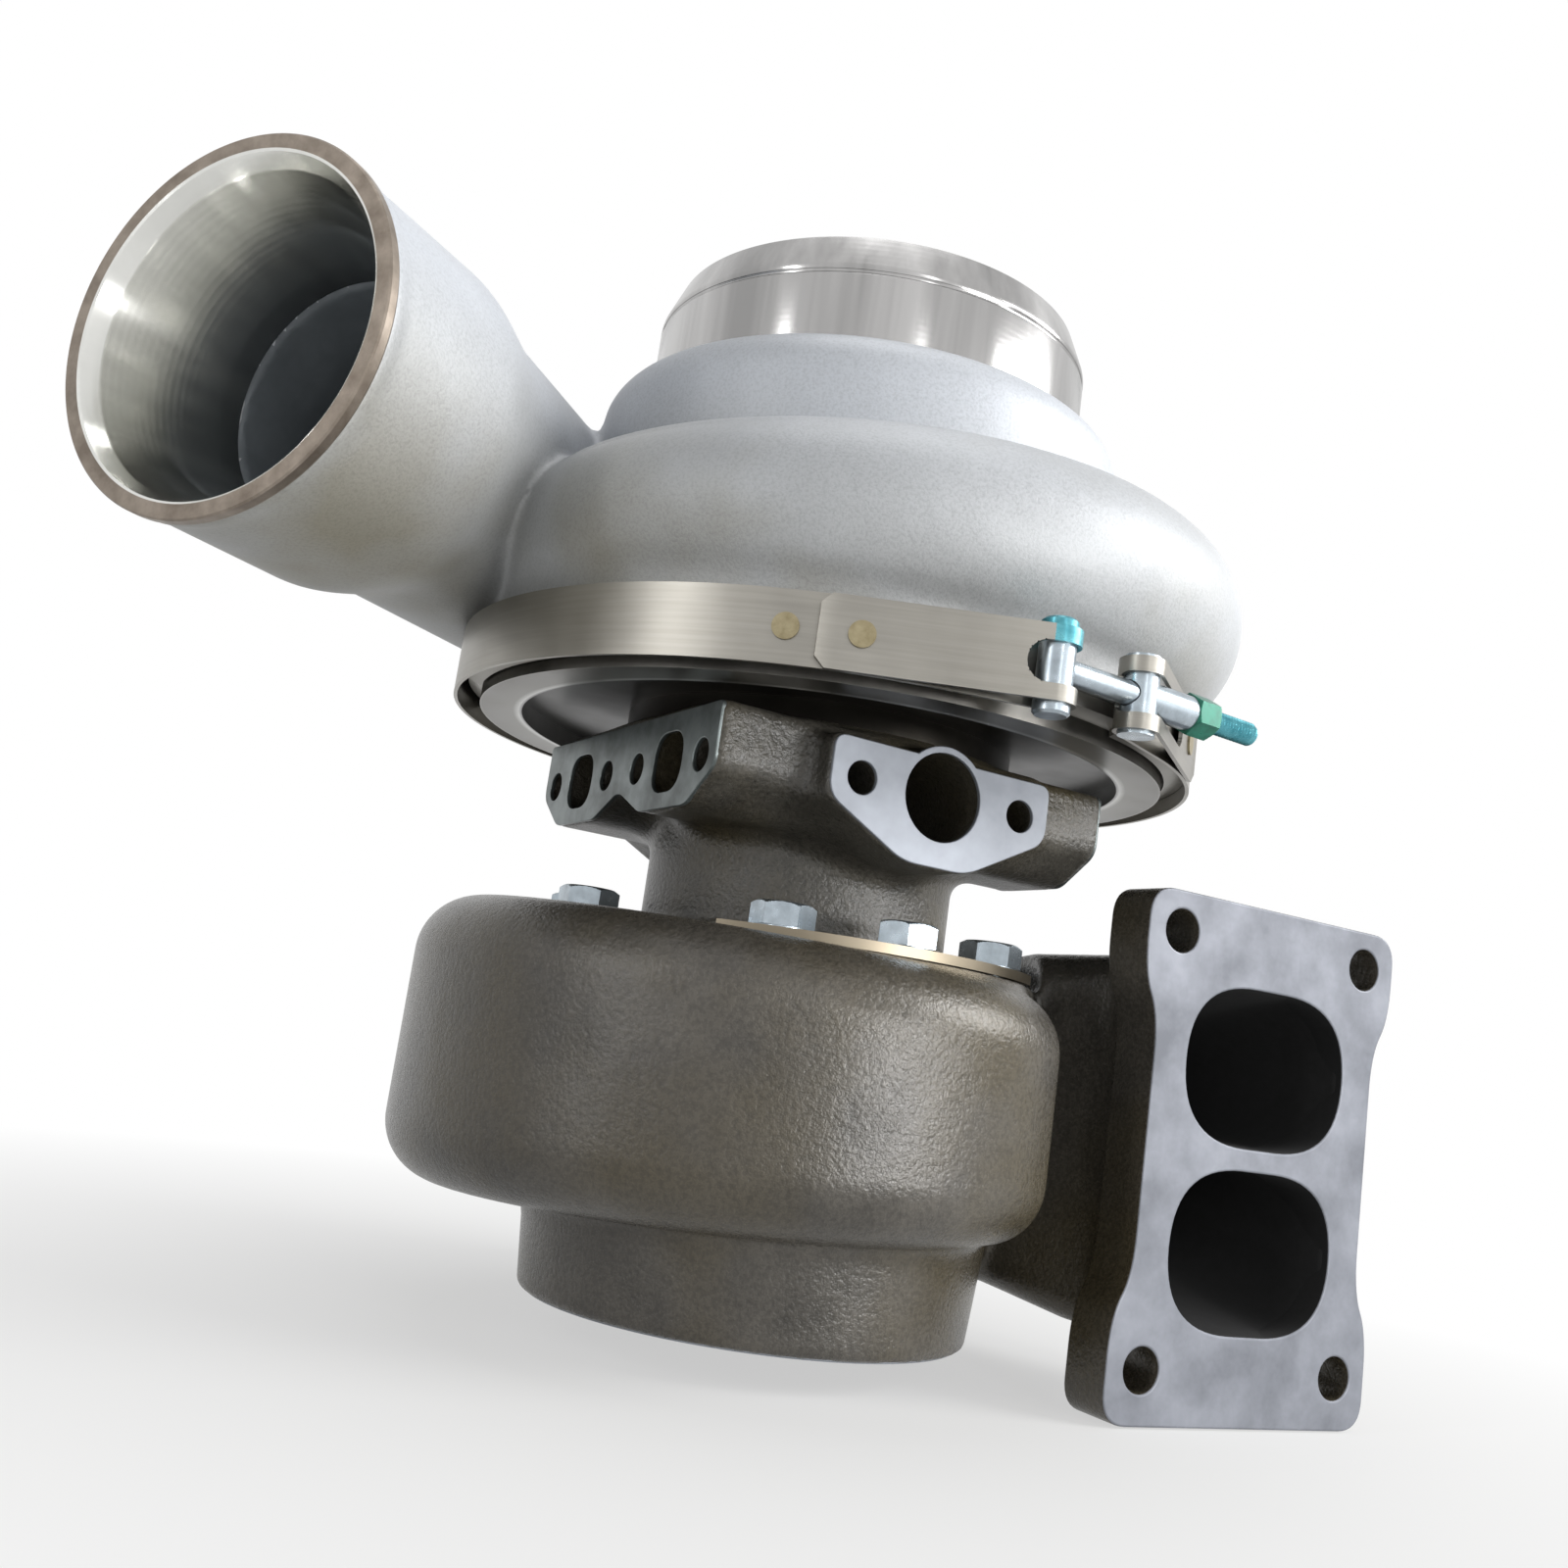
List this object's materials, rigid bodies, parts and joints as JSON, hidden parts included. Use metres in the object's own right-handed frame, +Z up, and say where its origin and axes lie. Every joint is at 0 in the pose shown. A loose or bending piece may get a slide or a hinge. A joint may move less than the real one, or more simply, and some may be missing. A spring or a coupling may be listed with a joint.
{
  "type": "turbocharger",
  "caption": "Diesel turbocharger with a cast scroll compressor cover, V-band clamp, oil-fed centre housing and divided-entry turbine housing; its bladed rotor spins freely.",
  "frame": {"origin": "centre of the turbine outlet's rim", "axes": "+Z up the shaft line to the compressor inlet; the turbine inlet flange faces -Y"},
  "size_m": [0.4394, 0.2928, 0.3516],
  "materials": {
    "cast_aluminium": "sand cast with turned inlet and outlet",
    "machined_aluminium": "turned",
    "wheel_aluminium": "milled",
    "turbine_iron": "oiled sand cast with machined faces",
    "housing_iron": "dark oiled sand cast with machined faces",
    "turbine_alloy": "investment cast",
    "band_stainless": "brushed",
    "zinc_steel": "zinc plated",
    "plate_steel": "satin",
    "ground_steel": "ground",
    "spring_steel": "blackened",
    "sheet_steel": "pressed",
    "bearing_bronze": "turned",
    "spot_weld_steel": "heat tinted",
    "green_nut": "green lacquer",
    "seal_rubber": "matte"
  },
  "bodies": {
    "housing": {"turbine_housing": "turbine_iron", "clamp_plates": "plate_steel", "clamp_bolts": "zinc_steel", "heat_shield": "sheet_steel", "turbine_piston_ring": "spring_steel", "centre_housing": "housing_iron", "bearing_spacer": "ground_steel", "bearing_snap_rings": "spring_steel", "thrust_bearing": "bearing_bronze", "thrust_screws": "zinc_steel", "oil_baffle": "sheet_steel", "compressor_piston_ring": "spring_steel", "housing_seal": "seal_rubber", "back_plate": "machined_aluminium", "back_plate_screws": "zinc_steel", "cover_seal": "seal_rubber", "compressor_cover": "cast_aluminium", "band_segments": "band_stainless", "band_strap": "band_stainless", "band_rivets": "spot_weld_steel", "band_t_bolt": "zinc_steel", "band_trunnion": "band_stainless", "band_lock_nut": "green_nut"},
    "rotor": {"turbine_wheel_shaft": "turbine_alloy", "compressor_wheel": "wheel_aluminium", "compressor_nut": "zinc_steel", "thrust_washer": "ground_steel", "thrust_collar": "ground_steel", "seal_sleeve": "ground_steel"},
    "lower_bearing_ring": {"lower_journal_bearing": "bearing_bronze"},
    "upper_bearing_ring": {"upper_journal_bearing": "bearing_bronze"}
  },
  "joints": [
    {"name": "rotor_spin", "type": "hinge", "parent": "housing", "child": "rotor", "pos_m": [0, 0, 0.14], "axis": [0, 0, 1], "continuous": true},
    {"name": "lower_ring_spin", "type": "hinge", "parent": "housing", "child": "lower_bearing_ring", "pos_m": [0, 0, 0.123], "axis": [0, 0, 1], "continuous": true},
    {"name": "upper_ring_spin", "type": "hinge", "parent": "housing", "child": "upper_bearing_ring", "pos_m": [0, 0, 0.1555], "axis": [0, 0, 1], "continuous": true}
  ],
  "couplings": [
    {"joint": "lower_ring_spin", "follows": "rotor_spin", "ratio": 0.25},
    {"joint": "upper_ring_spin", "follows": "rotor_spin", "ratio": 0.25}
  ]
}
